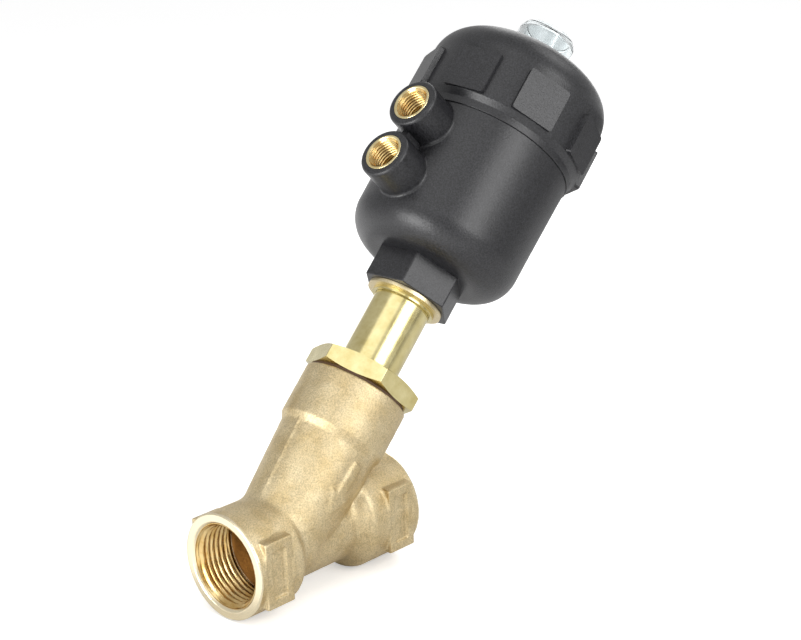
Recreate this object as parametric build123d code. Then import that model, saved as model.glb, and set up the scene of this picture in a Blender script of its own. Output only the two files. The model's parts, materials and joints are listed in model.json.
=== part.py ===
from build123d import *
import math
import os

# Pneumatic angle seat valve, two ports, closed by a spring.
# Millimetres. X runs along the pipe from inlet to outlet, Z is up, and the
# origin is on the pipe axis, at the face of the inlet port.
# The stem axis leaves the pipe axis at branch_x and leans towards the outlet.
# "Height" below always means the distance along the stem axis from there.

# ---- running and assembly clearances
loose = 0.3            # between pieces that move past each other without touching
running = 0.05         # radial, shaft in bush and seal lip in bore
seated = 0.1           # radial, screwed or pushed together and then fixed
axial = 0.15           # end play of a turning piece
over = 1.0             # how far a cut runs past the face it opens

# ---- cast body
face_to_face = 85.0
branch_angle = 45.0
branch_x = 24.2
port_major_r = 33.249 / 2      # G1 pipe thread, major diameter
port_thread_depth = 18.5
port_mouth_r = port_major_r + 1.1
sleeve_r = port_major_r + 4.3
inlet_sleeve_length = 22.0
outlet_sleeve_length = 25.0
seat_r = 11.5
flow_r = seat_r + 1.0
waist_r = flow_r + 3.1
cast_radius = 3.0
port_face_edge = 0.6
inlet_fall = 5.3               # length over which the inlet sleeve narrows to the waist
outlet_fall = 4.2
flats_across = 41.0            # wrench lugs, across the flats
lug_setback = 3.4
lug_length = 13.0
lug_height = 26.4
lug_edge = 0.6
pocket_length = 7.0
pocket_height = 19.0
pocket_depth = 1.0
seat_height = 17.0
seat_web = 3.0
plug_r = seat_r + 2.7
chamber_r = plug_r + 1.0
neck_bore_r = chamber_r + 2.3
neck_bore_start = 49.0
branch_foot_r = chamber_r + 2.4
branch_top_r = neck_bore_r + 2.5
step_height = 45.4             # where the rough casting meets the machined collar
step_rise = 3.1
step_edge = 0.8
collar_r = neck_bore_r + 4.0
body_top = 69.2
collar_edge = 0.7
seam_rise = 0.35               # raised seam left by the sand mould
seam_width = 0.9
arrow_length = 22.0
arrow_width = 11.0
arrow_shaft = 4.5
arrow_head = 8.8
arrow_rise = 0.7
arrow_height = 30.0            # of the arrow's middle, along the stem axis

# ---- bonnet: hexagon and tube in one turned piece
stem_r = 5.0
gasket_thickness = 1.0
gasket_width = 2.8
hex_across = 41.0
hex_height = 8.0
hex_chamfer_r = 20.2
hex_chamfer_angle = 20.0
hex_edge = 0.4                 # rounding of the upright edges of the metal hexagons
turned_edge = 0.6              # rounding of the bonnet's turned ends
stuffing_r = stem_r + 4.3
stuffing_floor = 3.5
tube_r = stuffing_r + 2.5
bare_tube = 31.9               # tube in sight between hexagon and thrust ring
tube_past_floor = 3.0          # tube standing up inside the cylinder

# ---- stem packing, listed from the bottom of the stuffing box upwards
support_thickness = 4.0
gland_spring_height = 18.0
gland_wire_r = 0.9
gland_turns = 5
gland_washer_thickness = 2.0
packing_count = 5
packing_pitch = 3.4
packing_thickness = 3.0
packing_dish = 1.0
guide_height = 20.0
wiper_height = 3.0
clip_thickness = 1.2
clip_depth = 1.2
clip_gap = 3.0                 # opening of the small snap rings
housing_clip_gap = 6.0
housing_clip_reach = 2.2       # how far the large snap ring stands out of the tube
gland_clip_reach = 1.2         # clear of the stem
wiper_slope = 1.6

# ---- plug
plug_rim = 1.1
plug_rim_height = 1.6          # of the rim's foot above the seat
plug_edge = 1.0
hub_edge = 0.6
hub_proud = 1.0                # hub below the seal nut
plug_clip_reach = 1.0          # how far the clip stands into the plug
plug_top = seat_height + 8.0
plug_hub_r = stem_r + 2.2
seal_thickness = 3.0
seal_washer_thickness = 2.0
seal_washer_r = seat_r - 1.2
seal_nut_across = 18.0
seal_nut_height = 4.0
plug_clip_height = seat_height + 3.5
stem_foot = seat_height - 4.0
stem_groove = 1.1
stem_edge = 0.6

# ---- actuator
thrust_ring_height = 1.5
thrust_ring_width = 1.6
thrust_washer_thickness = 1.5
thrust_washer_r = tube_r + 4.1
socket_across = 33.9           # plastic hexagon under the actuator
socket_height = 13.6
dome_round = 14.0
cylinder_r = 31.5
cylinder_length = 51.3         # from its floor to the parting line
floor_rise = 6.15              # cylinder floor above the plastic hexagon
housing_r_low = cylinder_r + 3.7
housing_r_top = cylinder_r + 4.7
cylinder_round = 6.0           # inside corners of housing and cap
neck_edge = 0.5
socket_edge = 0.9              # rounding of the moulded hexagon
neck_seal_drop = 1.5           # O-ring groove below the top of the neck
neck_length = 13.0
neck_r = cylinder_r + 2.5
cap_foot_r = cylinder_r + 5.3
cap_r = cylinder_r + 7.1
cap_height = 42.0
cap_shoulder = 14.0
cap_roof = 5.0
cap_foot_height = 3.0
cap_edge = 1.0
rim_edge = 0.3
window_recess = 0.6            # shallow seat that the window stands in
window_margin = 2.4
pad_count = 8
pad_phase = 32.5               # degrees round from the valve's side face
pad_width = 18.6
pad_rise = 5.8                 # foot of a grip pad above the parting line
pad_height = 18.6
pad_flat = cylinder_r + 8.2    # stem axis to the face of a grip pad
pad_corner = 1.2
pad_root = 6.0                 # how far a pad reaches into the cap's wall
pilot_major_r = 13.157 / 2     # G1/4 pipe thread, major diameter
pilot_mouth_r = pilot_major_r + 0.42
insert_r = pilot_major_r + 1.22
boss_r = insert_r + 2.7
boss_reach = cylinder_r + 18.5
boss_edge = 1.5
port_drop = 11.0               # upper pilot port below the parting line
port_pitch = 2 * boss_r + 2.6
boss_root = 1.2                # fillet where a boss meets the housing
boss_web = 3.2
boss_web_reach = boss_reach - 5.0
insert_length = 12.5
insert_proud = 0.2
insert_edge = 0.3
pilot_depth = 10.5
pilot_passage_r = 2.2

# ---- piston, spring and indicator
piston_rise = 18.5             # piston's seat above the cylinder floor, valve closed
piston_hub_r = stem_r + 6.0
piston_hub_height = 15.0
piston_web_rise = 5.0          # above the piston's seat
piston_web = 4.5
piston_rim = 5.0
piston_rim_rise = 2.6
piston_rim_height = 9.0
piston_edge = 1.0              # inside corners of the moulded piston
piston_o_ring_rise = 2.0
o_ring_play = 0.2              # how much wider and taller a groove is than its ring
lip_rise = 2.4                 # above the foot of the rim
lip_height = 3.4
lip_depth = 3.0
lip_foot = 0.9
lip_notch = 1.2                # depth of the V between the seal's two lips
lip_land = 0.6
guide_band_gap = 0.6           # between lip seal and guide band
guide_band_height = 1.4
guide_band_depth = 1.6
shoulder_r = stem_r + 2.2
shoulder_height = 3.0
washer_thickness = 1.5
washer_r = stem_r + 5.0
nut_across = 17.0
nut_height = 6.0
stem_past_seat = 26.0
spring_r = 20.0
spring_wire_r = 2.2
spring_turns = 6
spring_plate_r = 25.0
spring_plate = 2.0
spring_plate_lip = 1.5
pin_r = 2.5
pin_head_r = 5.0
pin_head_height = 5.0
pin_edge = 0.6
pin_drop = 1.4                 # top of the pin below the cap's top, valve closed
window_r = 13.0                # foot of the window's slightly tapered wall
window_shoulder_r = 12.4
window_rim_r = 11.4
window_shoulder_rise = 15.0
window_rise = 17.2
window_wall = 1.9
window_edge = 0.5
window_cavity_r = 9.9
window_spigot_r = 9.0
window_spigot_wall = 1.8
window_spigot_length = 7.0
o_ring_r = 0.85

lean = math.radians(branch_angle)
stem_plane = Plane(
    origin=(branch_x, 0, 0),
    x_dir=(math.sin(lean), 0, -math.cos(lean)),
    z_dir=(math.cos(lean), 0, math.sin(lean)),
)
gasket_top = body_top + gasket_thickness
hex_top = gasket_top + hex_height
thrust_height = hex_top + bare_tube
housing_foot = thrust_height + thrust_washer_thickness + axial
socket_top = housing_foot + socket_height
cylinder_floor = socket_top + floor_rise
tube_top = cylinder_floor + tube_past_floor
parting_height = cylinder_floor + cylinder_length
cap_top = parting_height + cap_height
pad_low = parting_height + pad_rise
pad_high = pad_low + pad_height
port_high = parting_height - port_drop
port_low = port_high - port_pitch
clip_height = cylinder_floor + axial
stuffing_start = neck_bore_start + stuffing_floor
gland_spring_start = stuffing_start + support_thickness
gland_washer_start = gland_spring_start + gland_spring_height
packing_start = gland_washer_start + gland_washer_thickness
guide_start = packing_start + packing_count * packing_pitch
wiper_start = guide_start + guide_height
piston_seat = cylinder_floor + piston_rise
piston_web_low = piston_seat + piston_web_rise
piston_rim_low = piston_seat + piston_rim_rise
lip_low = piston_rim_low + lip_rise
guide_band_low = lip_low + lip_height + guide_band_gap
stem_top = piston_seat + stem_past_seat
piston_top = piston_seat + piston_hub_height
nut_start = piston_top + washer_thickness
web_top = piston_web_low + piston_web
spring_plate_start = cap_top - cap_roof - spring_plate
tube_seal_low = housing_foot + socket_height / 2
neck_seal_low = parting_height + neck_length - neck_seal_drop - 2 * o_ring_r
window_seat = cap_top - window_recess
window_shoulder_height = cap_top + window_shoulder_rise
window_top = cap_top + window_rise
pin_top = cap_top - pin_drop


# ---- helpers
def turned(*corners):
    """Solid of revolution about Z from (radius, height, fillet radius) corners."""
    points = [(c[0], c[1]) for c in corners]
    radii = [c[2] if len(c) > 2 else 0 for c in corners]
    outline = FilletPolyline(*points, radius=radii, close=True)
    return revolve(Plane.XZ * make_face(outline), Axis.Z)


def ring(inner, outer, low, high):
    return turned((inner, low), (outer, low), (outer, high), (inner, high))


def rod(radius, low, high):
    return Pos(0, 0, low) * Cylinder(radius, high - low, align=(Align.CENTER, Align.CENTER, Align.MIN))


def along_x(radius, start, end):
    return Plane((start, 0, 0), z_dir=(1, 0, 0)) * rod(radius, 0, end - start)


def hexagon(across, low, high, edge=hex_edge):
    outline = RegularPolygon(across / 2, 6, major_radius=False)
    prism = extrude(Plane.XY.offset(low) * outline, high - low)
    return fillet(prism.edges().filter_by(Axis.Z), edge)


def o_ring(mean_r, height):
    return Pos(0, 0, height) * Torus(mean_r, o_ring_r)


def coil(mean_r, wire_r, low, high, turns):
    """Open helical spring standing between two heights."""
    foot, top = low + wire_r, high - wire_r
    path = Pos(0, 0, foot) * Helix((top - foot) / turns, top - foot, mean_r)
    section = Plane(path @ 0, z_dir=path % 0) * Circle(wire_r)
    return sweep(section, path=path, is_frenet=True)


def save(name, shape, on_stem=True):
    if on_stem:
        shape = stem_plane.location * shape
    solids = shape.solids()
    piece = solids[0] if len(solids) == 1 else Compound(children=list(solids))
    export_step(piece, os.path.join("parts", name + ".step"))


# ---- cast body with two threaded ports
def lug(face, inward):
    """Block that gives the sleeve its two wrench flats, behind one port face."""
    middle = face + inward * (lug_setback + lug_length / 2)
    block = Pos(middle, 0, 0) * Box(lug_length, flats_across, lug_height)
    return fillet(block.edges().filter_by(Axis.X), lug_edge)


def lug_cut(face, inward):
    """What is taken away there: the sleeve's bulge past both flats, and a pocket in each flat."""
    middle = face + inward * (lug_setback + lug_length / 2)
    cut = []
    for side in (-1, 1):
        flat = Pos(middle, side * flats_across / 2, 0)
        bulge = Pos(0, side * over, 0) * Box(lug_length, 2 * over, lug_height)
        pocket = Box(pocket_length, 2 * pocket_depth, pocket_height)
        cut += [flat * bulge, flat * pocket]
    return cut


def pipe_run():
    """Outside of the straight run: two sleeves joined by a narrower waist."""
    start = inlet_sleeve_length
    end = face_to_face - outlet_sleeve_length
    outline = FilletPolyline(
        (0, 0), (0, sleeve_r), (start, sleeve_r), (start + inlet_fall, waist_r),
        (end - outlet_fall, waist_r), (end, sleeve_r), (face_to_face, sleeve_r), (face_to_face, 0),
        radius=[0, port_face_edge, cast_radius, cast_radius, cast_radius, cast_radius, port_face_edge, 0],
        close=True,
    )
    return revolve(make_face(outline), Axis.X)


def branch():
    """Outside of the slanted branch, with the machined collar at its top."""
    return turned(
        (0, 0), (branch_foot_r, 0), (branch_top_r, step_height, step_edge),
        (collar_r, step_height + step_rise, step_edge), (collar_r, body_top, collar_edge), (0, body_top),
    )


def branch_skin(lift):
    """The branch's tapered outside, lifted by the height of what stands on it."""
    return turned(
        (0, 0), (branch_foot_r + lift, 0), (branch_top_r + lift, step_height), (0, step_height),
    )


def mould_seam():
    """Thin raised line down the inlet side of the branch, where the mould halves met."""
    reach = branch_top_r + seam_rise
    strip = Box(reach, seam_width, step_height, align=(Align.MAX, Align.CENTER, Align.MIN))
    return strip & branch_skin(seam_rise)


def flow_arrow():
    """Raised arrow that shows the flow direction, cast on the side of the branch."""
    tip = arrow_height - arrow_length / 2
    tail = arrow_height + arrow_length / 2
    neck = tip + arrow_head
    half_head, half_shaft = arrow_width / 2, arrow_shaft / 2
    outline = Polyline(
        (0, tip), (half_head, neck), (half_shaft, neck), (half_shaft, tail),
        (-half_shaft, tail), (-half_shaft, neck), (-half_head, neck), close=True,
    )
    prism = extrude(Plane.XZ * make_face(outline), collar_r + arrow_rise)
    return prism & branch_skin(arrow_rise)


def body_hollow():
    """Flow path: inlet chamber, seat opening, stem chamber and outlet chamber."""
    reach = 4 * face_to_face
    block = Box(reach, reach, reach, align=(Align.CENTER, Align.CENTER, Align.MIN))
    above_seat = stem_plane.location * (Pos(0, 0, seat_height) * block)
    below_seat = stem_plane.location * (Pos(0, 0, seat_height - seat_web - reach) * block)
    inlet = along_x(flow_r, 0, face_to_face) & below_seat
    outlet = along_x(flow_r, 0, face_to_face) & above_seat
    seat = stem_plane.location * rod(seat_r, 0, seat_height + over)
    chamber = stem_plane.location * rod(chamber_r, seat_height, neck_bore_start + over)
    neck = stem_plane.location * rod(neck_bore_r, neck_bore_start, body_top + over)
    return inlet + outlet + seat + chamber + neck


def port_bore(face, inward):
    """Threaded port: major-diameter bore with a chamfered mouth."""
    depth = port_thread_depth
    flare = port_mouth_r - port_major_r
    outline = Polyline(
        (0, 0), (port_mouth_r, 0), (port_major_r, flare), (port_major_r, depth),
        (flow_r, depth + (port_major_r - flow_r)), (0, depth + (port_major_r - flow_r)), close=True,
    )
    bore = revolve(Plane.XZ * make_face(outline), Axis.Z)
    return Plane((face, 0, 0), z_dir=(inward, 0, 0)) * bore


def valve_body():
    shell = pipe_run() + stem_plane.location * (branch() + flow_arrow() + mould_seam())
    for face, inward in ((0, 1), (face_to_face, -1)):
        shell += lug(face, inward)
        shell -= lug_cut(face, inward)
        shell -= port_bore(face, inward)
    return shell - body_hollow()


# ---- bonnet and stem packing
def chamfered_hexagon(low, high):
    corner = hex_across / 2 / math.cos(math.pi / 6) + over
    drop = (corner - hex_chamfer_r) * math.tan(math.radians(hex_chamfer_angle))
    envelope = turned(
        (0, low), (hex_chamfer_r, low), (corner, low + drop),
        (corner, high - drop), (hex_chamfer_r, high), (0, high),
    )
    return hexagon(hex_across, low, high) & envelope


def bonnet():
    skirt = turned(
        (0, neck_bore_start), (neck_bore_r - seated, neck_bore_start, turned_edge),
        (neck_bore_r - seated, gasket_top), (0, gasket_top),
    )
    tube = turned((0, gasket_top), (tube_r, gasket_top), (tube_r, tube_top, turned_edge), (0, tube_top))
    blank = skirt + chamfered_hexagon(gasket_top, hex_top) + tube
    blank -= rod(stem_r + loose, neck_bore_start - over, stuffing_start)
    blank -= rod(stuffing_r, stuffing_start, tube_top + over)
    groove_low = clip_height - seated
    groove_high = clip_height + clip_thickness + seated
    blank -= ring(tube_r - clip_depth, tube_r + over, groove_low, groove_high)
    inner_low = wiper_start + wiper_height
    blank -= ring(stuffing_r - over, stuffing_r + clip_depth, inner_low, inner_low + clip_thickness + seated)
    return blank


def bonnet_gasket():
    inner = neck_bore_r + seated
    return ring(inner, inner + gasket_width, body_top, gasket_top)


def packing_support():
    return ring(stem_r + loose, stuffing_r - seated, stuffing_start, gland_spring_start)


def gland_spring():
    mean_r = (stem_r + stuffing_r) / 2
    return coil(mean_r, gland_wire_r, gland_spring_start, gland_washer_start, gland_turns)


def gland_washer():
    return ring(stem_r + loose, stuffing_r - seated, gland_washer_start, packing_start)


def packing_ring(low):
    """Chevron ring: a shallow V in section that the spring spreads against the stem."""
    inner, outer = stem_r + running, stuffing_r - seated
    middle = (inner + outer) / 2
    high = low + packing_thickness
    return turned(
        (inner, low), (middle, low + packing_dish), (outer, low),
        (outer, high - packing_dish), (middle, high), (inner, high - packing_dish),
    )


def packing_rings():
    return [packing_ring(packing_start + packing_pitch * i) for i in range(packing_count)]


def stem_guide():
    return ring(stem_r + running, stuffing_r - seated, guide_start, wiper_start)


def stem_wiper():
    high = wiper_start + wiper_height
    return turned(
        (stem_r + running, high), (stem_r + wiper_slope, wiper_start), (stuffing_r - seated, wiper_start),
        (stuffing_r - seated, high),
    )


def split_ring(inner, outer, low, gap):
    """Snap ring with a gap on one side."""
    band = ring(inner, outer, low, low + clip_thickness)
    return band - Pos(outer, 0, low) * Box(2 * outer, gap, 4 * clip_thickness)   # reaches past both faces


def gland_clip():
    low = wiper_start + wiper_height + seated / 2
    return split_ring(stem_r + gland_clip_reach, stuffing_r + clip_depth - seated, low, clip_gap)


# ---- plug that closes the seat
def plug():
    low = seat_height - seal_washer_thickness - seal_nut_height - hub_proud
    rim_low = seat_height + plug_rim_height
    shell = turned(
        (0, low), (plug_hub_r, low, hub_edge), (plug_hub_r, seat_height + seal_thickness),
        (plug_r - plug_rim, seat_height + seal_thickness), (plug_r - plug_rim, rim_low),
        (plug_r, rim_low), (plug_r, plug_top, plug_edge), (0, plug_top),
    )
    shell -= rod(stem_r + running, stem_foot - loose, plug_top + over)
    clip_low = plug_clip_height - seated
    groove_r = stem_r + plug_clip_reach + seated
    return shell - ring(stem_r, groove_r, clip_low, plug_clip_height + clip_thickness + seated)


def seat_seal():
    return ring(plug_hub_r + seated, plug_r - plug_rim - seated, seat_height, seat_height + seal_thickness)


def seal_washer():
    return ring(plug_hub_r + seated, seal_washer_r, seat_height - seal_washer_thickness, seat_height)


def seal_nut():
    high = seat_height - seal_washer_thickness
    return hexagon(seal_nut_across, high - seal_nut_height, high) - rod(plug_hub_r + seated, 0, high + over)


def plug_clip():
    return split_ring(stem_r - stem_groove + 2 * seated, stem_r + plug_clip_reach, plug_clip_height, clip_gap)


# ---- stem with piston
def spindle():
    low = stem_foot
    shaft = rod(stem_r, low, stem_top) + rod(shoulder_r, piston_seat - shoulder_height, piston_seat)
    groove_low, groove_high = plug_clip_height - axial, plug_clip_height + clip_thickness + axial
    shaft -= ring(stem_r - stem_groove, stem_r + over, groove_low, groove_high)
    return chamfer(shaft.edges().group_by(Axis.Z)[0], stem_edge)


def piston():
    outer = cylinder_r - loose
    rim_in = outer - piston_rim
    high = piston_rim_low + piston_rim_height
    blank = turned(
        (stem_r + seated, piston_seat), (piston_hub_r, piston_seat, piston_edge / 2),
        (piston_hub_r, piston_web_low, piston_edge), (rim_in, piston_web_low, piston_edge),
        (rim_in, piston_rim_low), (outer, piston_rim_low), (outer, high), (rim_in, high),
        (rim_in, web_top, piston_edge), (piston_hub_r, web_top, piston_edge),
        (piston_hub_r, piston_top), (stem_r + seated, piston_top),
    )
    blank -= ring(outer - lip_depth, outer + over, lip_low, lip_low + lip_height)
    blank -= ring(outer - guide_band_depth, outer + over, guide_band_low, guide_band_low + guide_band_height)
    low, groove = piston_seat + piston_o_ring_rise, 2 * o_ring_r + o_ring_play
    return blank - ring(stem_r, stem_r + groove, low, low + groove)


def piston_seal():
    """Lip seal: its outer lip spreads downwards, towards the pilot air."""
    back = cylinder_r - loose - lip_depth + seated
    lip = cylinder_r - running
    low, high = lip_low + seated, lip_low + lip_height - seated
    foot, notch = back + lip_foot, back + lip_foot + lip_notch / 2
    return turned(
        (back, low), (foot, low), (notch, low + lip_notch), (lip - lip_land, low), (lip, low),
        (lip, low + lip_land), (lip - lip_land, high), (back, high),
    )


def piston_guide_band():
    inner = cylinder_r - loose - guide_band_depth + seated
    low = guide_band_low + seated
    return ring(inner, cylinder_r - running, low, low + guide_band_height - 2 * seated)


def piston_o_ring():
    return o_ring(stem_r + o_ring_r + seated, piston_seat + piston_o_ring_rise + o_ring_play / 2 + o_ring_r)


def piston_washer():
    return ring(stem_r + seated, washer_r, piston_top, nut_start)


def piston_nut():
    nut = hexagon(nut_across, nut_start, nut_start + nut_height)
    return nut - rod(stem_r + seated, nut_start - over, nut_start + nut_height + over)


def indicator_pin():
    return turned(
        (0, stem_top), (pin_r, stem_top), (pin_r, pin_top - pin_head_height),
        (pin_head_r, pin_top - pin_head_height, pin_edge), (pin_head_r, pin_top, pin_edge), (0, pin_top),
    )


def return_spring():
    return coil(spring_r, spring_wire_r, web_top, spring_plate_start, spring_turns)


# ---- actuator housing
def thrust_ring():
    low = thrust_height - thrust_ring_height
    return ring(tube_r + seated, tube_r + thrust_ring_width, low, thrust_height)


def thrust_washer():
    return ring(tube_r + seated, thrust_washer_r, thrust_height, thrust_height + thrust_washer_thickness)


def housing_clip():
    inner = tube_r - clip_depth + seated
    return split_ring(inner, tube_r + housing_clip_reach, clip_height, housing_clip_gap)


def pilot_boss(height):
    """Round boss for one pilot port, standing off the housing towards the inlet side."""
    at = Plane((0, 0, height), z_dir=(-1, 0, 0))
    boss = Cylinder(boss_r, boss_reach, align=(Align.CENTER, Align.CENTER, Align.MIN))
    return at * fillet(boss.edges().sort_by(Axis.Z)[-1], boss_edge)


def pilot_cut(height):
    at = Plane((0, 0, height), z_dir=(-1, 0, 0))
    seat_start = boss_reach - insert_length - seated
    return at * (rod(insert_r + seated, seat_start, boss_reach + over) + rod(pilot_passage_r, 0, boss_reach))


def housing_skin():
    """Domed outside of the cylinder with both pilot bosses, cut off at the parting line."""
    past = parting_height + 3 * boss_root
    skin = turned(
        (0, socket_top), (housing_r_low, socket_top, dome_round),
        (housing_r_top, parting_height), (housing_r_top, past), (0, past),
    )
    for height in (port_low, port_high):
        skin += pilot_boss(height)
    skin = fillet(skin.edges().filter_by(GeomType.BSPLINE), boss_root)
    reach = 2 * boss_reach
    return skin & Box(2 * reach, 2 * reach, parting_height, align=(Align.CENTER, Align.CENTER, Align.MIN))


def socket_hexagon():
    """Moulded hexagon under the dome, rounded at its foot as well as along its edges."""
    prism = hexagon(socket_across, housing_foot, socket_top + over, socket_edge)
    return fillet(prism.faces().sort_by(Axis.Z)[0].edges(), socket_edge / 2)


def lower_housing():
    neck_top = parting_height + neck_length
    shell = housing_skin() + turned(
        (0, parting_height - over), (neck_r, parting_height - over), (neck_r, neck_top, neck_edge),
        (0, neck_top),
    )
    shell += Rot(0, 0, 30) * socket_hexagon()
    middle = (port_low + port_high) / 2
    shell += Pos(-boss_web_reach / 2, 0, middle) * Box(boss_web_reach, boss_web, port_high - port_low)
    cavity_top = neck_top + over
    shell -= turned(
        (0, cylinder_floor), (cylinder_r, cylinder_floor, cylinder_round), (cylinder_r, cavity_top),
        (0, cavity_top),
    )
    shell -= rod(tube_r + running, housing_foot - over, cylinder_floor + over)
    groove = 2 * o_ring_r + o_ring_play
    shell -= ring(tube_r, tube_r + groove + seated, tube_seal_low, tube_seal_low + groove)
    shell -= ring(neck_r - groove + seated, neck_r + over, neck_seal_low, neck_seal_low + groove)
    for height in (port_low, port_high):
        shell -= pilot_cut(height)
    return shell


def tube_o_ring():
    return o_ring(tube_r + o_ring_r + running + seated, tube_seal_low + o_ring_r + o_ring_play / 2)


def housing_o_ring():
    return o_ring(neck_r - o_ring_r, neck_seal_low + o_ring_r + o_ring_play / 2)


def pilot_insert(height):
    at = Plane((0, 0, height), z_dir=(-1, 0, 0))
    end = boss_reach + insert_proud
    flare = pilot_mouth_r - pilot_major_r
    shell = turned(
        (pilot_passage_r, boss_reach - insert_length), (insert_r, boss_reach - insert_length),
        (insert_r, end, insert_edge), (pilot_mouth_r, end), (pilot_major_r, end - flare),
        (pilot_major_r, end - pilot_depth), (pilot_passage_r, end - pilot_depth),
    )
    return at * shell


# ---- cap with grip pads, window and spring plate
def grip_pad(angle):
    middle = (pad_low + pad_high) / 2
    depth = pad_flat - cap_foot_r + pad_root
    pad = Box(depth, pad_width, pad_high - pad_low)
    pad = fillet(pad.edges().filter_by(Axis.X), pad_corner)
    return Rot(0, 0, angle) * (Pos(pad_flat - depth / 2, 0, middle) * pad)


def cap():
    low = parting_height + seated
    shell = turned(
        (0, low), (cap_foot_r, low, rim_edge), (cap_foot_r, low + cap_foot_height, cap_edge),
        (cap_r, pad_low, cap_edge), (cap_r, cap_top, cap_shoulder),
        (window_r + window_margin + window_recess, cap_top, rim_edge),
        (window_r + window_margin, window_seat), (0, window_seat),
    )
    for i in range(pad_count):
        shell += grip_pad(-90 - pad_phase + i * 360 / pad_count)
    roof = cap_top - cap_roof
    neck_end = parting_height + neck_length + seated
    shell -= rod(neck_r + seated, low - over, neck_end)
    shell -= turned(
        (0, neck_end - over), (cylinder_r, neck_end - over), (cylinder_r, roof, cylinder_round), (0, roof),
    )
    return shell - rod(window_spigot_r + seated, roof - over, cap_top + over)


def upper_spring_plate():
    """Flanged washer under the cap's roof that centres the return spring."""
    inner, outer, lip = window_spigot_r + spring_plate, spring_plate_r, spring_plate_lip
    return turned(
        (inner, spring_plate_start), (outer - lip, spring_plate_start),
        (outer - lip, spring_plate_start - lip), (outer, spring_plate_start - lip),
        (outer, cap_top - cap_roof), (inner, cap_top - cap_roof),
    )


def window_o_ring():
    return o_ring(window_spigot_r + o_ring_r + loose, window_seat + o_ring_r)


def indicator_window():
    low = window_seat + 2 * o_ring_r
    spigot_end = low - window_spigot_length
    spigot_in = window_spigot_r - window_spigot_wall
    return turned(
        (spigot_in, spigot_end), (window_spigot_r, spigot_end), (window_spigot_r, low),
        (window_r, low, window_edge), (window_shoulder_r, window_shoulder_height, window_edge),
        (window_rim_r, window_top, window_edge), (0, window_top),
        (0, window_top - window_wall), (window_cavity_r, window_top - window_wall, 2 * window_edge),
        (window_cavity_r, low + window_wall), (spigot_in, low + window_wall),
    )


os.makedirs("parts", exist_ok=True)
save("valve_body", valve_body(), on_stem=False)
save("bonnet", bonnet())
save("bonnet_gasket", bonnet_gasket())
save("packing_support", packing_support())
save("gland_spring", gland_spring())
save("gland_washer", gland_washer())
save("packing_rings", Compound(children=packing_rings()))
save("stem_guide", stem_guide())
save("stem_wiper", stem_wiper())
save("gland_clip", gland_clip())
save("thrust_ring", thrust_ring())
save("thrust_washer", thrust_washer())
save("housing_clip", housing_clip())
save("plug", plug())
save("seat_seal", seat_seal())
save("seal_washer", seal_washer())
save("seal_nut", seal_nut())
save("plug_clip", plug_clip())
save("spindle", spindle())
save("piston", piston())
save("piston_seal", piston_seal())
save("piston_guide_band", piston_guide_band())
save("piston_o_ring", piston_o_ring())
save("piston_washer", piston_washer())
save("piston_nut", piston_nut())
save("indicator_pin", indicator_pin())
save("return_spring", return_spring())
save("lower_housing", lower_housing())
save("tube_o_ring", tube_o_ring())
save("housing_o_ring", housing_o_ring())
save("pilot_insert_low", pilot_insert(port_low))
save("pilot_insert_high", pilot_insert(port_high))
save("cap", cap())
save("spring_plate", upper_spring_plate())
save("window_o_ring", window_o_ring())
save("indicator_window", indicator_window())
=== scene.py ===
# %% [markdown]
# # An angle seat valve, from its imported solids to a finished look
#
# The real object is a water and steam valve: a cast bronze body with two threaded ports, a turned
# brass bonnet with a bright tube, and a black moulded actuator that air pushes open and a spring
# pushes shut. The solids already have their true sizes and places. This lesson gives each one the
# surface it has on the real valve, and models again the few whose shape is more than the solid
# shows: the casting, the pipe threads and the spring.

# %% Load the solids and remember their box
import json
import math
import bmesh
import bpy
import numpy as np
from mathutils import Matrix, Vector


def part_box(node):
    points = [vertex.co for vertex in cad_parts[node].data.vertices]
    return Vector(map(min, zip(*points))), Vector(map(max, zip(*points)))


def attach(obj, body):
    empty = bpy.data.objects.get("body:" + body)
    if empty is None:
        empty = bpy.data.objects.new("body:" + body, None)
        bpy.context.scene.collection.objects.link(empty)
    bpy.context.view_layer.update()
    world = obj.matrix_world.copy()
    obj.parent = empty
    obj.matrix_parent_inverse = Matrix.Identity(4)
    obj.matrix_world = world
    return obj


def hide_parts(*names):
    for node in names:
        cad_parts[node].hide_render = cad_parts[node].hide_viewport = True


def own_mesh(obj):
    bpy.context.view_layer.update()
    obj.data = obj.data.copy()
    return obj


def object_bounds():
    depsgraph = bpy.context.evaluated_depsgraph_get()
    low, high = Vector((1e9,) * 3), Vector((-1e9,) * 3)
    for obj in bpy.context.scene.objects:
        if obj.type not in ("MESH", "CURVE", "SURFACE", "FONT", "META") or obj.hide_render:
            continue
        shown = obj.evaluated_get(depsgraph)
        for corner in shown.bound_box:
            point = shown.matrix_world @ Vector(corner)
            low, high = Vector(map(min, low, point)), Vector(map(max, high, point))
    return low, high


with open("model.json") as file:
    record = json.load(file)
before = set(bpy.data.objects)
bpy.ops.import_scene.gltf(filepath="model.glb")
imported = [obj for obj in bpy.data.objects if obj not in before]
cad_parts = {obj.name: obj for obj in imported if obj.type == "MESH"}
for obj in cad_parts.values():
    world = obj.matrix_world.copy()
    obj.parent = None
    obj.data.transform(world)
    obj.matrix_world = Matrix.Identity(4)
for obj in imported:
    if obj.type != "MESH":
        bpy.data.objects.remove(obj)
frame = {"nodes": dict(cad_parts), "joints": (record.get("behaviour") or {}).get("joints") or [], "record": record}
nodes = frame["nodes"]
cad_box = [list(corner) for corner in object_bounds()]
print("solids:", len(nodes), "box in metres:", cad_box)

# %% [markdown]
# ## Two frames to work in
#
# Nearly every piece is round, either about the pipe or about the slanted stem. Measuring along
# those two axes is easier than in X, Y and Z, so the stem gets a frame of its own: its Z runs up
# the stem, its Y is the valve's Y, and its zero is where the stem axis meets the pipe axis. The
# joint that lets the actuator turn lies on the stem axis, so it gives both place and direction.

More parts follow.
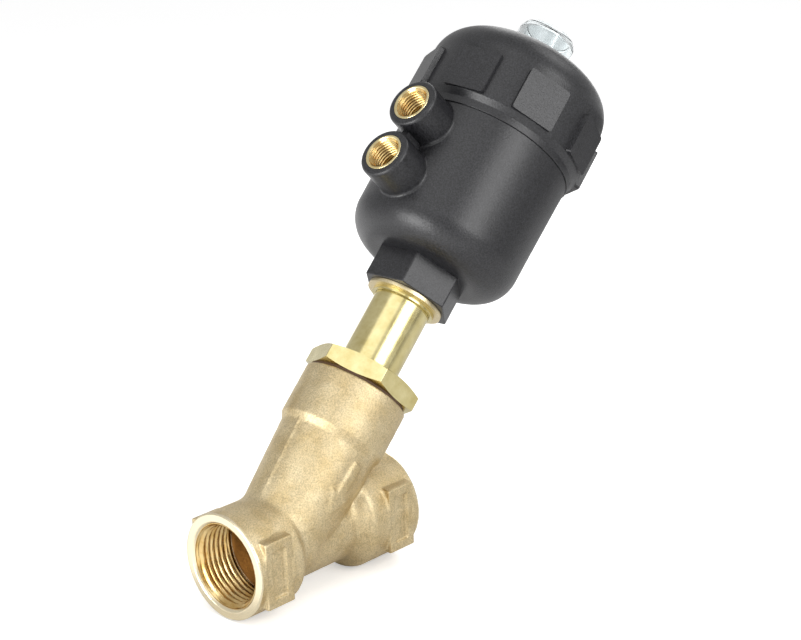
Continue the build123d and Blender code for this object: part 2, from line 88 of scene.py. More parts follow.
# %% The millimetre, the stem frame and the port frames
MM = 0.001
turn_joint = next(j for j in frame["joints"] if j["name"] == "actuator_turn")
stem_up = Vector(turn_joint["axis"]).normalized()
stem_out = Vector((stem_up.z, 0, -stem_up.x))
stem_point = Vector(turn_joint["pos_m"])
stem_foot = stem_point - stem_up * (stem_point.z / stem_up.z)
stem_axes = Matrix((stem_out, (0, 1, 0), stem_up)).transposed().to_4x4()
stem_frame = Matrix.Translation(stem_foot) @ stem_axes

mounts = {m["name"]: m for m in frame["record"]["mounts"]}
body_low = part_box("valve_body")[0]
face_to_face = mounts["inlet"]["pos_m"][0] + mounts["outlet"]["pos_m"][0]


def hole_frame(mount_name, mouth):
    """Frame at a port's mouth whose Z runs into the hole; mouth is its distance from the mount's point."""
    mount = mounts[mount_name]
    inward = -Vector(mount["axis"])
    centre = Vector(mount["pos_m"]) - inward * mouth * MM
    side = Vector((0, 1, 0)).cross(inward)
    return Matrix.Translation(centre) @ Matrix((side, (0, 1, 0), inward)).transposed().to_4x4()


print("stem foot", [round(c / MM, 2) for c in stem_foot], "face to face", round(face_to_face / MM, 2), "mm")

# %% [markdown]
# ## Meshes of our own
#
# A piece modelled here starts as lists of points and faces. Two shapes cover all of them: a grid
# that closes round an axis, and a tube along a line. Both are plain lists, so every thread and coil
# stays readable. Edges sharper than 35 degrees are marked, so the light breaks there and flows
# smoothly over the rest.

# %% From points and faces to a piece
def piece_from(name, points, faces, place, material, sharp=35):
    mesh = bpy.data.meshes.new(name)
    mesh.from_pydata([place @ Vector(p) for p in points], [], faces)
    bm = bmesh.new()
    bm.from_mesh(mesh)
    bmesh.ops.recalc_face_normals(bm, faces=bm.faces)
    for face in bm.faces:
        face.smooth = True
    for edge in bm.edges:
        edge.smooth = edge.calc_face_angle(math.pi) < math.radians(sharp)
    bm.to_mesh(mesh)
    bm.free()
    mesh.materials.append(material)
    piece = bpy.data.objects.new(name, mesh)
    bpy.context.scene.collection.objects.link(piece)
    print(name, len(mesh.vertices), "points", len(mesh.polygons), "faces")
    return piece


def ring_faces(rows, around, close_rows):
    """Faces of a grid of rows, each closing round the axis; the last row may close to the first."""
    last = rows if close_rows else rows - 1
    faces = []
    for i in range(last):
        for j in range(around):
            a, b = i * around, ((i + 1) % rows) * around
            k = (j + 1) % around
            faces.append((a + j, a + k, b + k, b + j))
    return faces


# %% [markdown]
# ## Materials, one recipe at a time
#
# Every finish here is worked out in the shader, with no pictures. Colours are written as the hex
# numbers a paint card or a screen shows and turned to linear light, because that is what the
# renderer adds up. Pattern sizes are written in real millimetres and turned to the scale number
# that a texture node wants, which is how many times it repeats in a metre.

# %% Colour, scale and the one function that adds a node
def linear(hex_colour):
    channels = [int(hex_colour[i:i + 2], 16) / 255 for i in (1, 3, 5)]
    return tuple([c / 12.92 if c <= 0.04045 else ((c + 0.055) / 1.055) ** 2.4 for c in channels] + [1.0])


def repeats(millimetres):
    return 1 / (millimetres * MM)


def add(tree, kind, settings, links):
    """Adds a node. Settings go on the node, a colour ramp's stops among them as (position, colour)
    pairs, and links are values or other nodes' sockets."""
    node = tree.nodes.new("ShaderNode" + kind)
    for key, value in settings.items():
        if key != "stops":
            setattr(node, key, value)
            continue
        elements = node.color_ramp.elements
        for i, (position, colour) in enumerate(value):
            stop = elements[i] if i < 2 else elements.new(position)
            stop.position = position
            stop.color = linear(colour) if isinstance(colour, str) else (colour, colour, colour, 1)
    for key, value in links.items():
        if isinstance(value, bpy.types.NodeSocket):
            tree.links.new(value, node.inputs[key])
        else:
            node.inputs[key].default_value = value
    return node


def material_of(name, **surface):
    """A named material with its main shader; surface holds that shader's own values."""
    material = bpy.data.materials.new(name)
    material.use_nodes = True
    tree = material.node_tree
    tree.nodes.clear()
    shader = add(tree, "BsdfPrincipled", {}, surface)
    out = tree.nodes.new("ShaderNodeOutputMaterial")
    tree.links.new(shader.outputs[0], out.inputs["Surface"])
    where = add(tree, "TexCoord", {}, {}).outputs["Object"]
    return material, tree, shader, where


print("white is", linear("#ffffff"), "and a 1 mm pattern repeats", repeats(1), "times a metre")

# %% [markdown]
# ### Sand-cast bronze
#
# The body is poured in a sand mould and blasted clean. Its skin keeps the print of the sand grains,
# so it is a soft, slightly sparkling gold with no clear reflections. Where a lathe has cut it, at
# the port faces and in their bores, the metal is smoother and brighter. The passage behind the
# threads is painted a dark brown, as painted shade for the dark inside of the body. One material
# does all three: masks tell them apart by where they are, with a little noise so the line between
# cut and cast wanders as it does on a rough casting. The sand was about 0.25 mm, drawn here at
# 0.55 mm so that it shows at this size.

# %% Where the casting is cut, where it is left as cast, and where its passage gets painted shade
# Depths are from a port's face, and in a pair of them the tone starts at the first and is full at
# the second.
PORT_WALL, WALL_FADE = 18.0 * MM, 0.2 * MM   # nothing outside this radius is inside a port
PORT_END, END_FADE = 18.5 * MM, 1.0 * MM     # how deep the ports are cut
FACE_TONE = (0.35 * MM, 0.1 * MM)            # the cut faces
CUT_EDGE = 1.3 * MM                          # how far their edge wanders
PASSAGE_SHADE = (18.3 * MM, 18.9 * MM)        # the passage, painted dark as shade
WIDE_END, NARROW_START = 22 * MM, 26 * MM    # depths between which it narrows
WIDE_R, NARROW_R = 16.8 * MM, 14.0 * MM      # its wall before and after


def port_measures(tree, where):
    """Sockets for the distance from the middle between the ports, and from the pipe's axis."""
    axes = add(tree, "SeparateXYZ", {}, {"Vector": where})
    offset = add(tree, "Math", {"operation": "SUBTRACT"}, {0: axes.outputs["X"], 1: face_to_face / 2})
    along = add(tree, "Math", {"operation": "ABSOLUTE"}, {0: offset.outputs[0]})
    flat = add(tree, "CombineXYZ", {}, {"X": 0.0, "Y": axes.outputs["Y"], "Z": axes.outputs["Z"]})
    radius = add(tree, "VectorMath", {"operation": "LENGTH"}, {0: flat.outputs[0]})
    return along.outputs[0], radius.outputs["Value"]


def machined_mask(tree, where, wander):
    """1 on the two port faces and their bores, and 0 on the cast skin."""
    along, radius = port_measures(tree, where)
    middle = face_to_face / 2
    along = add(tree, "Math", {"operation": "MULTIPLY_ADD"}, {0: wander, 1: CUT_EDGE, 2: along}).outputs[0]
    edge = {"From Min": middle - FACE_TONE[0], "From Max": middle - FACE_TONE[1]}
    at_face = add(tree, "MapRange", {}, {"Value": along, **edge})
    wall = {"From Min": PORT_WALL, "From Max": PORT_WALL - WALL_FADE}
    in_bore = add(tree, "MapRange", {}, {"Value": radius, **wall})
    end = {"From Min": middle - PORT_END - END_FADE, "From Max": middle - PORT_END}
    near_port = add(tree, "MapRange", {}, {"Value": along, **end})
    in_bore = add(tree, "Math", {"operation": "MULTIPLY"}, {0: in_bore.outputs[0], 1: near_port.outputs[0]})
    cut = add(tree, "Math", {"operation": "MAXIMUM"}, {0: at_face.outputs[0], 1: in_bore.outputs[0]})
    return cut.outputs[0]


def passage_shade_mask(tree, where):
    """1 in the flow passage past the threads, where dark shade is painted. Its wall narrows from the port to the
    straight bore.
    """
    along, radius = port_measures(tree, where)
    middle = face_to_face / 2
    end = {"From Min": middle - PASSAGE_SHADE[0], "From Max": middle - PASSAGE_SHADE[1]}
    deep = add(tree, "MapRange", {}, {"Value": along, **end})
    taper = {"From Min": middle - NARROW_START, "From Max": middle - WIDE_END}
    wall = {"To Min": NARROW_R, "To Max": WIDE_R}
    limit = add(tree, "MapRange", {}, {"Value": along, **taper, **wall})
    narrow = add(tree, "Math", {"operation": "LESS_THAN"}, {0: radius, 1: limit.outputs[0]})
    passage = add(tree, "Math", {"operation": "MULTIPLY"}, {0: deep.outputs[0], 1: narrow.outputs[0]})
    return passage.outputs[0]


print("ports cut", round(PORT_END / MM, 1), "mm deep")


# %% Sand-cast bronze with its machined faces
def sand_cast_bronze():
    material, tree, shader, where = material_of("sand_cast_bronze", Metallic=1.0)
    sand = {"Scale": repeats(0.55), "Detail": 5.0, "Roughness": 0.65}
    grain = add(tree, "TexNoise", {}, {"Vector": where, **sand}).outputs["Fac"]
    patches = add(tree, "TexNoise", {}, {"Vector": where, "Scale": repeats(9), "Detail": 3.0})
    pits = add(tree, "TexVoronoi", {}, {"Vector": where, "Scale": repeats(1.3), "Randomness": 1.0})
    wander = add(tree, "TexNoise", {}, {"Vector": where, "Scale": repeats(4), "Detail": 2.0})
    machined = machined_mask(tree, where, wander.outputs["Fac"])
    blasted = {"stops": [(0.3, "#d2bc8e"), (0.7, "#e6d5ae")]}
    skin = add(tree, "ValToRGB", blasted, {"Fac": patches.outputs["Fac"]}).outputs["Color"]
    speck = add(tree, "ValToRGB", {"stops": [(0.35, 0.62), (0.6, 1.0)]}, {"Fac": grain}).outputs["Color"]
    multiply = {"data_type": "RGBA", "blend_type": "MULTIPLY"}
    skin = add(tree, "Mix", multiply, {"Factor": 1.0, "A": skin, "B": speck}).outputs["Result"]
    cut = {"Factor": machined, "A": skin, "B": linear("#efe2c2")}
    colour = add(tree, "Mix", {"data_type": "RGBA"}, cut).outputs["Result"]
    # Painted shade: the deep passage behind the threads is coloured a dark brown.
    painted_shade = {"Factor": passage_shade_mask(tree, where), "A": colour, "B": linear("#7a5226")}
    colour = add(tree, "Mix", {"data_type": "RGBA"}, painted_shade).outputs["Result"]
    tree.links.new(colour, shader.inputs["Base Color"])
    rough = add(tree, "MapRange", {}, {"Value": grain, "To Min": 0.34, "To Max": 0.6}).outputs[0]
    rough = add(tree, "Mix", {}, {"Factor": machined, "A": rough, "B": 0.27})
    tree.links.new(rough.outputs["Result"], shader.inputs["Roughness"])
    relief = {0: pits.outputs["Distance"], 1: 0.35, 2: grain}
    height = add(tree, "Math", {"operation": "MULTIPLY_ADD"}, relief).outputs[0]
    keep = add(tree, "Math", {"operation": "MULTIPLY_ADD"}, {0: machined, 1: -0.92, 2: 1.0}).outputs[0]
    bump = add(tree, "Bump", {}, {"Strength": keep, "Distance": 0.16 * MM, "Height": height})
    tree.links.new(bump.outputs["Normal"], shader.inputs["Normal"])
    return material


bronze = sand_cast_bronze()
print("made", bronze.name)

# %% [markdown]
# ### Turned brass
#
# The bonnet, its tube, the thread inserts and the pipe threads are cut on a lathe. The tool leaves
# rings too fine to count, which blur the reflections across them, and a light oil film lets the
# tone drift from straw to green gold. Feed marks are 0.1 mm apart on the real tube and are drawn
# 0.45 mm apart, very shallow.

# %% Turned brass for the stem's pieces and for the ports
def turned_brass(name, light, dark, roughness, ring_gap, ring_depth, along):
    material, tree, shader, where = material_of(name, Metallic=1.0)
    height = add(tree, "VectorMath", {"operation": "DOT_PRODUCT"}, {0: where, 1: tuple(along)})
    feed = {"W": height.outputs["Value"], "Scale": repeats(ring_gap), "Detail": 2.0}
    rings = add(tree, "TexNoise", {"noise_dimensions": "1D"}, feed)
    film = {"Scale": repeats(6), "Detail": 4.0, "Roughness": 0.6}
    stain = add(tree, "TexNoise", {}, {"Vector": where, **film}).outputs["Fac"]
    colour = add(tree, "ValToRGB", {"stops": [(0.3, dark), (0.7, light)]}, {"Fac": stain})
    tree.links.new(colour.outputs["Color"], shader.inputs["Base Color"])
    worn = {"To Min": roughness * 0.75, "To Max": roughness * 1.3}
    rough = add(tree, "MapRange", {}, {"Value": stain, **worn})
    tree.links.new(rough.outputs[0], shader.inputs["Roughness"])
    relief = {"Strength": 1.0, "Distance": ring_depth * MM, "Height": rings.outputs["Fac"]}
    bump = add(tree, "Bump", {}, relief)
    tree.links.new(bump.outputs["Normal"], shader.inputs["Normal"])
    return material


pipe_x = Vector((1, 0, 0))
brass_on_stem = turned_brass("turned_brass", "#e2d6a2", "#cabb80", 0.2, 0.45, 0.012, stem_up)
brass_in_port = turned_brass("threaded_bronze", "#e4cd98", "#c29a55", 0.24, 0.3, 0.01, pipe_x)
brass_in_pilot = turned_brass("threaded_insert_brass", "#e6cf94", "#b98f4c", 0.22, 0.3, 0.008, -stem_out)
brass_insert = turned_brass("turned_insert_brass", "#f2e4b4", "#e0cb92", 0.2, 0.3, 0.008, -stem_out)
for finish in (brass_on_stem, brass_in_port, brass_in_pilot, brass_insert):
    print("made", finish.name)

# %% [markdown]
# ### Black glass-filled polyamide
#
# Housing and cap are injection moulded in a tough nylon with glass fibre. The mould's fine spark
# texture leaves a satin skin that is nearly black face on and grey where light grazes it, with
# glass fibres showing as fine pale specks. Its grain is about 0.1 mm, drawn at 0.6 mm. Handling
# polishes it a little in patches.

# %% Black polyamide
def black_polyamide():
    material, tree, shader, where = material_of("moulded_black_polyamide", IOR=1.53)
    fibres = {"Scale": repeats(0.6), "Detail": 3.0, "Roughness": 0.6}
    grain = add(tree, "TexNoise", {}, {"Vector": where, **fibres}).outputs["Fac"]
    patches = add(tree, "TexNoise", {}, {"Vector": where, "Scale": repeats(22), "Detail": 4.0})
    specks = {"stops": [(0.38, "#0e0e10"), (0.64, "#29292c")]}
    colour = add(tree, "ValToRGB", specks, {"Fac": grain})
    tree.links.new(colour.outputs["Color"], shader.inputs["Base Color"])
    handled = {"Value": patches.outputs["Fac"], "To Min": 0.3, "To Max": 0.4}
    rough = add(tree, "MapRange", {}, handled)
    tree.links.new(rough.outputs[0], shader.inputs["Roughness"])
    bump = add(tree, "Bump", {}, {"Strength": 1.0, "Distance": 0.09 * MM, "Height": grain})
    tree.links.new(bump.outputs["Normal"], shader.inputs["Normal"])
    return material


polyamide = black_polyamide()
print("made", polyamide.name)

# %% [markdown]
# ### Clear polycarbonate
#
# The position window is polished polycarbonate, thick enough to bend what is behind it. It is all
# in the shader: full transmission, the plastic's own index, and a trace of roughness from
# handling.

# %% Clear polycarbonate
def clear_polycarbonate():
    material, tree, shader, where = material_of("clear_polycarbonate", IOR=1.585)
    shader.inputs["Transmission Weight"].default_value = 1.0
    shader.inputs["Base Color"].default_value = linear("#e4e9ea")
    haze = add(tree, "TexNoise", {}, {"Vector": where, "Scale": repeats(3), "Detail": 4.0})
    rough = add(tree, "MapRange", {}, {"Value": haze.outputs["Fac"], "To Min": 0.0, "To Max": 0.06})
    tree.links.new(rough.outputs[0], shader.inputs["Roughness"])
    return material


polycarbonate = clear_polycarbonate()
print("made", polycarbonate.name)

# %% [markdown]
# ### The small parts' finishes
#
# Washers, clips and the spindle are turned or stamped steel; the seals are rubber or fluoropolymer;
# the gasket is pressed graphite sheet whose edge weathers brown. Each needs only a tone that drifts
# and a grain of its own size, so one recipe serves them all with different values.

# %% Steels, rubber, fluoropolymer, gasket and indicator
def small_part_finish(name, dark, light, roughness, grain_mm, depth_mm, **surface):
    material, tree, shader, where = material_of(name, **surface)
    fine = {"Scale": repeats(grain_mm), "Detail": 4.0, "Roughness": 0.6}
    grain = add(tree, "TexNoise", {}, {"Vector": where, **fine}).outputs["Fac"]
    colour = add(tree, "ValToRGB", {"stops": [(0.3, dark), (0.7, light)]}, {"Fac": grain})
    tree.links.new(colour.outputs["Color"], shader.inputs["Base Color"])
    uneven = {"To Min": roughness * 0.8, "To Max": roughness * 1.25}
    rough = add(tree, "MapRange", {}, {"Value": grain, **uneven})
    tree.links.new(rough.outputs[0], shader.inputs["Roughness"])
    bump = add(tree, "Bump", {}, {"Strength": 1.0, "Distance": depth_mm * MM, "Height": grain})
    tree.links.new(bump.outputs["Normal"], shader.inputs["Normal"])
    return material


steel, spring_steel, plated = "turned_stainless", "zinc_plated_spring_steel", "dull_plated_brass"
rubber, fluoropolymer = "moulded_nitrile_rubber", "machined_fluoropolymer"
finish_of_slot = {
    "stainless": small_part_finish(steel, "#a9a9a6", "#c3c3c0", 0.28, 0.6, 0.01, Metallic=1.0),
    "spring_steel": small_part_finish(spring_steel, "#7d7f84", "#9b9ca0", 0.35, 0.5, 0.02, Metallic=1.0),
    "plated_brass": small_part_finish(plated, "#d8c79c", "#eadcb8", 0.36, 0.7, 0.02, Metallic=1.0),
    "black_rubber": small_part_finish(rubber, "#141414", "#1f1f1f", 0.6, 0.4, 0.02),
    "ptfe": small_part_finish(fluoropolymer, "#dcdcd6", "#eeeeea", 0.45, 0.8, 0.01, IOR=1.38),
    "graphite": small_part_finish("pressed_graphite_gasket", "#3a2614", "#5e4124", 0.6, 0.5, 0.06),
    "red_plastic": small_part_finish("moulded_red_acetal", "#a51512", "#b81e18", 0.3, 0.6, 0.01, IOR=1.48),
    "cast_bronze": bronze,
    "turned_brass": brass_on_stem,
    "black_plastic": polyamide,
    "clear_plastic": polycarbonate,
}
for part in frame["record"]["subparts"]:
    slots = nodes[part["node"]].data.materials
    slots[0] = finish_of_slot[part["material_slot"]]
for name in ("pilot_insert_low", "pilot_insert_high"):
    nodes[name].data.materials[0] = brass_insert

# %% [markdown]
# ## The casting
#
# A pattern maker rounds every inside corner, because molten metal tears at a sharp one. The solid
# has hard corners where the branch meets the pipe, so its shape is copied, cut into an even net of
# small faces, and worked like wax: inside corners are filled until they are a few millimetres
# round, then the whole cast skin is rubbed down a little and given the slight unevenness of a sand
# mould. Machined faces and bores are held still, and so are the wrench lugs, whose edges stay
# crisp. Bevels would have to be set edge by edge; this way one rule rounds them all.

# %% An even net over the casting
def even_copy(node_name, new_name, step_mm):
    """Copy of a solid, remade with faces of one size."""
    copy = bpy.data.objects.new(new_name, nodes[node_name].data.copy())
    bpy.context.scene.collection.objects.link(copy)
    remesh = copy.modifiers.new("even_net", "REMESH")
    remesh.mode = "VOXEL"
    remesh.voxel_size = step_mm * MM
    remesh.adaptivity = 0.0
    depsgraph = bpy.context.evaluated_depsgraph_get()
    mesh = bpy.data.meshes.new_from_object(copy.evaluated_get(depsgraph))
    copy.modifiers.clear()
    copy.data = mesh
    print(new_name, len(mesh.vertices), "points")
    return copy


casting = even_copy("valve_body", "cast_body", 0.4)


# %% Where the skin is cast, and where the corner to fill is
# All in millimetres. In a pair, the surface is held still up to the first and free from the second.
FACE = (0.9, 1.8)               # behind a port face
BORE_WALL = (17.8, 18.3)        # out from the pipe axis
BORE_END = (19, 24)             # in from a port face
COLLAR = (0.8, 1.8)             # below the collar's top
NECK_R, NECK_START = 18.2, 30   # bore for the bonnet
LUG_END, LUG_SIDE = 17.2, 17.5
STEP_HEIGHT, STEP_HALF, STEP_R = 47.0, 5, 18.5
PIPE_SKIN, STEM_SKIN = 14.2, 15.0
NEAR_PIPE, NEAR_STEM = (21.5, 26), (22, 26)   # corners are filled up to the first, not past the second
HALF_GASKET = 0.5
LUG_HOLD, STEP_HOLD = 0.97, 0.8               # share of the rubbing down that these are spared


def step_up(value, start, end):
    """0 before start, 1 after end, and a straight rise between."""
    return np.clip((value - start) / (end - start), 0, 1)


def stem_measures(points):
    """Height along the stem and distance from its axis, in millimetres."""
    offset = (points - np.array(stem_foot)) / MM
    height = offset @ np.array(stem_up)
    radius = np.linalg.norm(offset - height[:, None] * np.array(stem_up), axis=1)
    return height, radius


def body_top_height():
    low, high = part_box("bonnet_gasket")
    centre = (low + high) / 2
    return (centre - stem_foot).dot(stem_up) / MM - HALF_GASKET


def casting_weights(points):
    """How much each point may be rubbed down, and how much its corner may be filled."""
    x, y, z = (points / MM).T
    from_face = np.minimum(x, face_to_face / MM - x)
    from_pipe = np.hypot(y, z)
    height, from_stem = stem_measures(points)
    faces = step_up(from_face, *FACE)
    bores = np.maximum(step_up(from_pipe, *BORE_WALL), step_up(from_face, *BORE_END))
    neck = np.minimum(1, step_up(body_top_height() - height, *COLLAR) + (height < 0))
    inside_neck = 1 - (from_stem < NECK_R) * (height > NECK_START)
    lugs = (from_face < LUG_END) * (np.abs(y) > LUG_SIDE)
    step = (np.abs(height - STEP_HEIGHT) < STEP_HALF) * (from_stem > STEP_R)
    cast = faces * bores * neck * inside_neck * (1 - LUG_HOLD * lugs) * (1 - STEP_HOLD * step)
    near_pipe = step_up(-from_pipe, -NEAR_PIPE[1], -NEAR_PIPE[0])
    near_stem = step_up(-from_stem, -NEAR_STEM[1], -NEAR_STEM[0])
    corner = near_pipe * near_stem * (from_pipe > PIPE_SKIN) * (from_stem > STEM_SKIN)
    return cast, cast * corner * (1 - lugs) * (1 - step)


print("collar's top at", round(body_top_height(), 2), "mm up the stem")


# %% Fill the corners, rub down the skin, add the mould's unevenness
def net_of(mesh):
    edges = np.zeros(len(mesh.edges) * 2, int)
    mesh.edges.foreach_get("vertices", edges)
    edges = edges.reshape(-1, 2)
    points = np.zeros(len(mesh.vertices) * 3)
    mesh.vertices.foreach_get("co", points)
    count = np.bincount(edges.ravel(), minlength=len(mesh.vertices))
    return points.reshape(-1, 3), edges, np.maximum(count, 1)


def pull_to_neighbours(points, edges, count):
    total = np.zeros_like(points)
    for axis in range(3):
        total[:, axis] = np.bincount(edges[:, 0], points[edges[:, 1], axis], len(points))
        total[:, axis] += np.bincount(edges[:, 1], points[edges[:, 0], axis], len(points))
    return total / count[:, None] - points


def normals_of(mesh):
    normals = np.zeros(len(mesh.vertices) * 3)
    mesh.vertices.foreach_get("normal", normals)
    return normals.reshape(-1, 3)


FILL_STEP, RUB_STEP = 0.6, 0.5   # share of the way to the neighbours that a point moves in a round
RENEW = 10                       # rounds between looks at which way is outward


def work_like_wax(piece, weights, fill_rounds, rub_rounds, unevenness_mm):
    mesh = piece.data
    points, edges, count = net_of(mesh)
    cast, corner = weights(points)
    for i in range(fill_rounds):
        if i % RENEW == 0:
            mesh.vertices.foreach_set("co", points.ravel())
            mesh.update()
            normals = normals_of(mesh)
        pull = pull_to_neighbours(points, edges, count)
        outward = np.clip((pull * normals).sum(1), 0, None)
        points = points + normals * (outward * corner * FILL_STEP)[:, None]
    for _ in range(rub_rounds):
        points = points + pull_to_neighbours(points, edges, count) * (RUB_STEP * cast)[:, None]
    mesh.vertices.foreach_set("co", points.ravel())
    mesh.update()
    normals = normals_of(mesh)
    wave = sum(np.sin(points @ np.array(d) / MM + s) for d, s in mould_waves) / len(mould_waves)
    points = points + normals * (wave * cast * unevenness_mm * MM)[:, None]
    mesh.vertices.foreach_set("co", points.ravel())
    mesh.update()
    for polygon in mesh.polygons:
        polygon.use_smooth = True


WAVES, WAVE_RATE = 9, 0.55       # how many add up, and radians a millimetre
rng = np.random.default_rng(7)
mould_waves = [(rng.normal(size=3) * WAVE_RATE, rng.uniform(0, 6.28)) for _ in range(WAVES)]
FILL_ROUNDS, RUB_ROUNDS = ((90, 7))
work_like_wax(casting, casting_weights, FILL_ROUNDS, RUB_ROUNDS, unevenness_mm=0.11)
casting.data.materials.clear()
casting.data.materials.append(bronze)
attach(casting, "valve")
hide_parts("valve_body")
print("casting worked,", len(casting.data.polygons), "faces")

# %% [markdown]
# ## The threads
#
# Pipe threads are cut into the ports. The solid's bore is the thread's widest diameter, so the
# crests stand inward from it: a wall whose radius rises and falls as it winds along the hole, one
# pitch a turn. Real pipe threads have rounded crests and roots, which a softened zigzag gives. At
# the mouth a chamfer cuts the first crests away, and at the bottom they fade where the tap ran out.

# %% A threaded wall
SHARPNESS = 0.95               # 1 gives a zigzag with sharp crests and roots
AROUND, PER_TURN = 120, 14     # points round the hole, and rows in one pitch
WALL = 0.25                    # millimetres of metal behind the root


def rounded_zigzag(phase):
    """0 in the root and 1 on the crest, with both slightly rounded."""
    swing = math.asin(SHARPNESS * math.sin(2 * math.pi * phase))
    return 0.5 + swing / (2 * math.asin(SHARPNESS))


def threaded_wall(name, place, root, crest, pitch, mouth_radius, start, end, material):
    rows = int((end - start) / pitch * PER_TURN)
    points = []
    for i in range(rows + 1):
        depth = start + (end - start) * i / rows
        fade = min(1, (end - depth) / pitch)
        for j in range(AROUND):
            wave = rounded_zigzag(depth / pitch - j / AROUND)
            radius = root - (root - crest) * wave * fade
            radius = min(root, max(radius, mouth_radius - depth))
            angle = 2 * math.pi * j / AROUND
            points.append((radius * MM * math.cos(angle), radius * MM * math.sin(angle), depth * MM))
    backing = root + WALL
    for depth in (end, start):
        for j in range(AROUND):
            angle = 2 * math.pi * j / AROUND
            points.append((backing * MM * math.cos(angle), backing * MM * math.sin(angle), depth * MM))
    faces = ring_faces(rows + 3, AROUND, True)
    return piece_from(name, points, faces, place, material, sharp=60)


# %% The four threaded ports
PIPE_THREAD = {
    "root": 16.58, "crest": 15.15, "pitch": 2.309, "mouth_radius": 17.7, "start": 0.9, "end": 18.6,
}
PILOT_THREAD = {
    "root": 6.55, "crest": 5.72, "pitch": 1.337, "mouth_radius": 7.0, "start": 0.35, "end": 10.4,
}
PIPE_MOUTH, PILOT_MOUTH = 1.2, 5.2   # millimetres from the mount's point out to the mouth
for port, body, mouth, sizes, finish in (
    ("inlet", "valve", PIPE_MOUTH, PIPE_THREAD, brass_in_port),
    ("outlet", "valve", PIPE_MOUTH, PIPE_THREAD, brass_in_port),
    ("pilot_port_low", "actuator", PILOT_MOUTH, PILOT_THREAD, brass_in_pilot),
    ("pilot_port_high", "actuator", PILOT_MOUTH, PILOT_THREAD, brass_in_pilot),
):
    thread = threaded_wall(port + "_thread", hole_frame(port, mouth), **sizes, material=finish)
    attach(thread, body)

# %% [markdown]
# ## The return spring
#
# A heavy spring pushes the piston down and the plug onto its seat. Its end turns are wound closed
# and ground flat so it stands square. The solid is an open coil that can't get shorter; this coil
# stands for it.

# %% A coil with closed ends
COIL_R, COIL_WIRE_R = 20.0, 2.2
ACTIVE_TURNS, DEAD_TURNS = 5, 1
STEPS_PER_TURN, ROUND_STEPS = 48, 14
GRIND = 0.02                   # millimetres ground off each end


def coil(name, place, mean_r, wire_r, low, high, active_turns, dead_turns, material):
    turns = active_turns + 2 * dead_turns
    steps = int(turns * STEPS_PER_TURN)
    closed = 2 * wire_r
    climb = (high - low) - 2 * wire_r - 2 * dead_turns * closed
    points = []
    for i in range(steps + 1):
        turn = turns * i / steps
        lifted = min(turn, dead_turns) * closed + max(0, turn - dead_turns - active_turns) * closed
        lifted += climb * min(1, max(0, (turn - dead_turns) / active_turns))
        angle = 2 * math.pi * turn
        out = Vector((math.cos(angle), math.sin(angle), 0))
        centre = out * mean_r + Vector((0, 0, low + wire_r + lifted))
        for j in range(ROUND_STEPS):
            a = 2 * math.pi * j / ROUND_STEPS
            p = centre + out * (wire_r * math.cos(a)) + Vector((0, 0, wire_r * math.sin(a)))
            p.z = min(max(p.z, low + GRIND), high - GRIND)
            points.append(p * MM)
    faces = ring_faces(steps + 1, ROUND_STEPS, False)
    faces.append(tuple(range(ROUND_STEPS)))
    faces.append(tuple(range(steps * ROUND_STEPS, (steps + 1) * ROUND_STEPS)))
    return piece_from(name, points, faces, place, material, sharp=50)


spring_points = nodes["return_spring"].data.vertices
spring_places = [(Vector(v.co) - stem_foot).dot(stem_up) / MM for v in spring_points]
spring_low, spring_high = min(spring_places), max(spring_places)
wire = finish_of_slot["spring_steel"]
coil_size = (COIL_R, COIL_WIRE_R, spring_low, spring_high, ACTIVE_TURNS, DEAD_TURNS)
return_coil = coil("return_coil", stem_frame, *coil_size, wire)
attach(return_coil, "actuator")
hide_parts("return_spring")
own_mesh(return_coil)

# %% [markdown]
# ## The studio
#
# A valve for a catalogue is lit softly, on a white acrylic table with light under it. Metal and
# satin plastic show their shape by what they mirror, so the room is only half bright and the panels
# stand out from it: one low at the left for the dome, a broad one above it for the casting and the
# tube, one in front for the cylinder and its pads, and two at the right for the outlet and the rim.
# A grey card on the table at the front right gives the lower faces something darker to mirror. Only
# reflections meet it: the camera doesn't see it and it casts no shadow. The table is at the height
# of the body's underside.

# %% The floor and the card that lie under the valve
FLOOR_REACH = 6.0              # metres
TABLE_GAP = 0.5 * MM           # between the valve and the table, which leaves room for the card


def level_sheet(name, low, high, height, material):
    """Flat sheet between two (x, y) corners, in metres."""
    mesh = bpy.data.meshes.new(name)
    corners = [(low[0], low[1]), (high[0], low[1]), (high[0], high[1]), (low[0], high[1])]
    mesh.from_pydata([(x, y, height) for x, y in corners], [], [(0, 1, 2, 3)])
    mesh.materials.append(material)
    sheet = bpy.data.objects.new(name, mesh)
    bpy.context.scene.collection.objects.link(sheet)
    return sheet


def lit_white_acrylic():
    material, _, shader, _ = material_of("lit_white_acrylic")
    shader.inputs["Base Color"].default_value = linear("#f4f4f4")
    shader.inputs["Roughness"].default_value = 0.9
    shader.inputs["Emission Color"].default_value = linear("#ffffff")
    shader.inputs["Emission Strength"].default_value = 0.4
    return material


def graded_grey_card():
    """Pale near the valve and darker far off."""
    material, tree, shader, where = material_of("graded_grey_card")
    away = add(tree, "VectorMath", {"operation": "DISTANCE"}, {0: where, 1: tuple(body_low)})
    reach = {"From Min": 0.3, "From Max": 0.65}
    fade = add(tree, "MapRange", {}, {"Value": away.outputs["Value"], **reach})
    stops = {"stops": [(0.0, "#dedede"), (1.0, "#707070")]}
    grey = add(tree, "ValToRGB", stops, {"Fac": fade.outputs[0]})
    tree.links.new(grey.outputs["Color"], shader.inputs["Base Color"])
    shader.inputs["Roughness"].default_value = 0.9
    return material


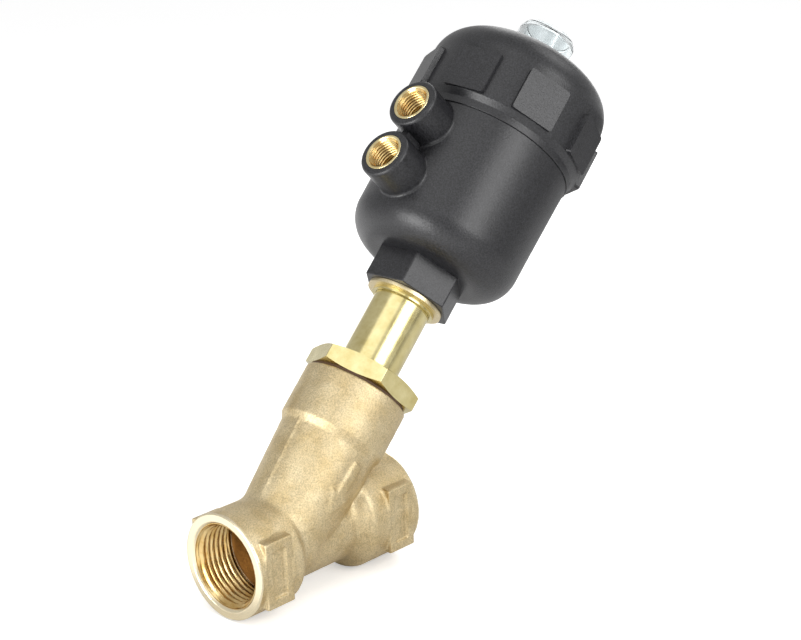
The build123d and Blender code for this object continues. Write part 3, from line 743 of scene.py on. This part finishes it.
table_height = body_low.z - TABLE_GAP
far = FLOOR_REACH
level_sheet("studio_floor", (-far, -far), (far, far), table_height, lit_white_acrylic())
heart = Vector(cad_box[0]) * 0.5 + Vector(cad_box[1]) * 0.5
card_low, card_high = (heart.x - 0.12, heart.y - 1.0), (heart.x + 0.95, heart.y + 0.2)
card = level_sheet("grey_card", card_low, card_high, body_low.z, graded_grey_card())
card.visible_camera = card.visible_shadow = False
card.visible_diffuse = card.visible_transmission = False
print("table at", round(table_height / MM, 2), "mm, heart of the valve", [round(c, 3) for c in heart])


# %% World and light panels
def light_panel(name, place, aim, width, height, watts, colour="#ffffff"):
    light = bpy.data.lights.new(name, "AREA")
    light.shape = "RECTANGLE"
    light.size, light.size_y = width, height
    light.energy = watts
    light.color = linear(colour)[:3]
    lamp = bpy.data.objects.new(name, light)
    lamp.location = place
    lamp.rotation_euler = (Vector(aim) - Vector(place)).to_track_quat("-Z", "Y").to_euler()
    lamp.visible_camera = False
    bpy.context.scene.collection.objects.link(lamp)
    return lamp


world = bpy.data.worlds.new("studio_world")
world.use_nodes = True
room = world.node_tree.nodes["Background"]
room.inputs["Color"].default_value = linear("#ffffff")
room.inputs["Strength"].default_value = 0.62
bpy.context.scene.world = world
light_panel("panel_left_low", heart + Vector((-0.9, 0.03, 0.0)), heart, 0.5, 0.5, 7.0)
light_panel("panel_left_high", heart + Vector((-0.5, -0.2, 0.9)), heart, 0.9, 0.8, 2.2)
light_panel("panel_front", heart + Vector((0.0, -0.85, 0.4)), heart, 0.55, 0.5, 4.0)
light_panel("panel_right_high", heart + Vector((0.62, -0.28, 0.68)), heart, 0.4, 0.4, 1.2)
light_panel("panel_right_back", heart + Vector((0.7, 0.35, 0.3)), heart, 0.3, 0.7, 1.2)

# %% [markdown]
# ## The camera
#
# The view is from the front left, a little above, with a long lens so that the pipe's far port is
# nearly as large as the near one. Direction, roll and distance are written as angles and
# millimetres; the aim is given by how far the camera stands to the right of and above the point
# midway between the ports.

# %% Place the camera
AZIMUTH, ELEVATION, ROLL = math.radians(-46.295), math.radians(17.183), math.radians(-2.067)
DISTANCE, ASIDE, ABOVE, LENS = 704.42, 36.695, 81.561, 81.876
flat = math.cos(ELEVATION)
back = Vector((math.sin(AZIMUTH) * flat, -math.cos(AZIMUTH) * flat, math.sin(ELEVATION)))
level = Vector((math.cos(AZIMUTH), math.sin(AZIMUTH), 0))
upright = back.cross(level)
right = level * math.cos(ROLL) + upright * math.sin(ROLL)
up = upright * math.cos(ROLL) - level * math.sin(ROLL)
camera_data = bpy.data.cameras.new("studio_camera")
camera_data.lens, camera_data.sensor_width = LENS, 36
camera_data.clip_start, camera_data.clip_end = 0.01, 20
camera = bpy.data.objects.new("studio_camera", camera_data)
place = Vector((face_to_face / 2, 0, 0)) + (back * DISTANCE + right * ASIDE + up * ABOVE) * MM
camera.matrix_world = Matrix.Translation(place) @ Matrix((right, up, back)).transposed().to_4x4()
bpy.context.scene.collection.objects.link(camera)
bpy.context.scene.camera = camera
bpy.context.scene.view_settings.view_transform = "Standard"
print("camera at", [round(c, 3) for c in place])
